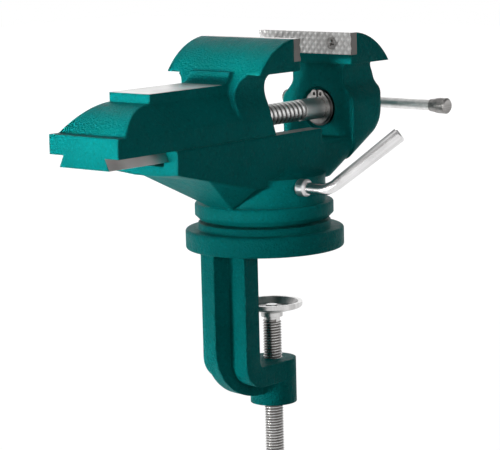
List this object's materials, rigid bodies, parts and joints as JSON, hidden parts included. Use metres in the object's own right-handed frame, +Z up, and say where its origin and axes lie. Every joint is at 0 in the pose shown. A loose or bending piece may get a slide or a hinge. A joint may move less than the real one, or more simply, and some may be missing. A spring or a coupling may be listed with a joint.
{
  "type": "clamp-on table vise",
  "caption": "Clamp-on table vise with a swivel base, dovetail slide, serrated jaw plates, anvil, screw with sliding tommy bar, bent lock lever and C-frame table clamp.",
  "frame": {"origin": "centre of the base disc's underside, which rests on the table top, on the swivel axis", "axes": "+Z up along the swivel axis, +X along the main screw from the anvil end to the tommy bar, -Y on the lock lever's side"},
  "size_m": [0.2641, 0.1622, 0.2911],
  "materials": {
    "casting": "teal-green hammered enamel on cast iron, machined where faces slide",
    "plate_steel": "serrated hardened steel",
    "plated_steel": "zinc plated",
    "screw_steel": "bright plated",
    "bright_chrome": "polished chrome",
    "black_steel": "phosphated spring steel",
    "nut_iron": "machined cast iron",
    "plug_brass": "turned brass"
  },
  "bodies": {
    "base": {"clamp_base": "casting", "pivot_bolt": "plated_steel", "pivot_washer": "plated_steel", "pivot_nut": "plated_steel"},
    "swivel": {"swivel_body": "casting", "fixed_jaw_plate": "plate_steel", "fixed_plate_screws": "plated_steel", "thrust_washer": "plated_steel", "lock_plug": "plug_brass"},
    "moving": {"moving_jaw": "casting", "moving_jaw_plate": "plate_steel", "moving_plate_screws": "plated_steel", "spindle_nut": "nut_iron", "nut_pin": "plated_steel"},
    "main_screw": {"spindle": "screw_steel", "retaining_ring": "black_steel"},
    "tommy": {"tommy_bar": "bright_chrome", "tommy_knobs": "bright_chrome"},
    "lock": {"lock_screw": "bright_chrome", "lock_lever": "bright_chrome"},
    "pad": {"clamp_pad": "screw_steel"},
    "table_screw": {"clamp_screw": "screw_steel", "pad_clip": "black_steel"},
    "table_screw_bar": {"clamp_bar": "bright_chrome", "clamp_bar_knobs": "bright_chrome"}
  },
  "joints": [
    {"name": "swivel_turn", "type": "hinge", "parent": "base", "child": "swivel", "pos_m": [0, 0, 0], "axis": [0, 0, 1], "continuous": true},
    {"name": "jaw_slide", "type": "slide", "parent": "swivel", "child": "moving", "axis": [1, 0, 0], "range_m": [-0.0264, 0.0486]},
    {"name": "main_screw_turn", "type": "hinge", "parent": "swivel", "child": "main_screw", "pos_m": [0, 0, 0.0819], "axis": [1, 0, 0], "range_deg": [-4380, 2382]},
    {"name": "tommy_slide", "type": "slide", "parent": "main_screw", "child": "tommy", "axis": [0, 1, 0], "range_m": [-0.0435, 0.0455]},
    {"name": "lock_turn", "type": "hinge", "parent": "swivel", "child": "lock", "pos_m": [-0.009, 0, 0.0408], "axis": [0, -1, 0], "range_deg": [-85, 95]},
    {"name": "clamp_travel", "type": "slide", "parent": "base", "child": "pad", "axis": [0, 0, 1], "range_m": [-0.026, 0.034]},
    {"name": "clamp_turn", "type": "hinge", "parent": "pad", "child": "table_screw", "pos_m": [0.00416, -0.00059, 0], "axis": [0, 0, 1], "range_deg": [-5355, 7000]},
    {"name": "clamp_bar_slide", "type": "slide", "parent": "table_screw", "child": "table_screw_bar", "axis": [0.1392, 0.9903, 0], "range_m": [-0.0265, 0.0265]}
  ],
  "couplings": [
    {"joint": "main_screw_turn", "follows": "jaw_slide", "rad_per_m": -1570.8},
    {"joint": "clamp_turn", "follows": "clamp_travel", "rad_per_m": 3590.4}
  ]
}
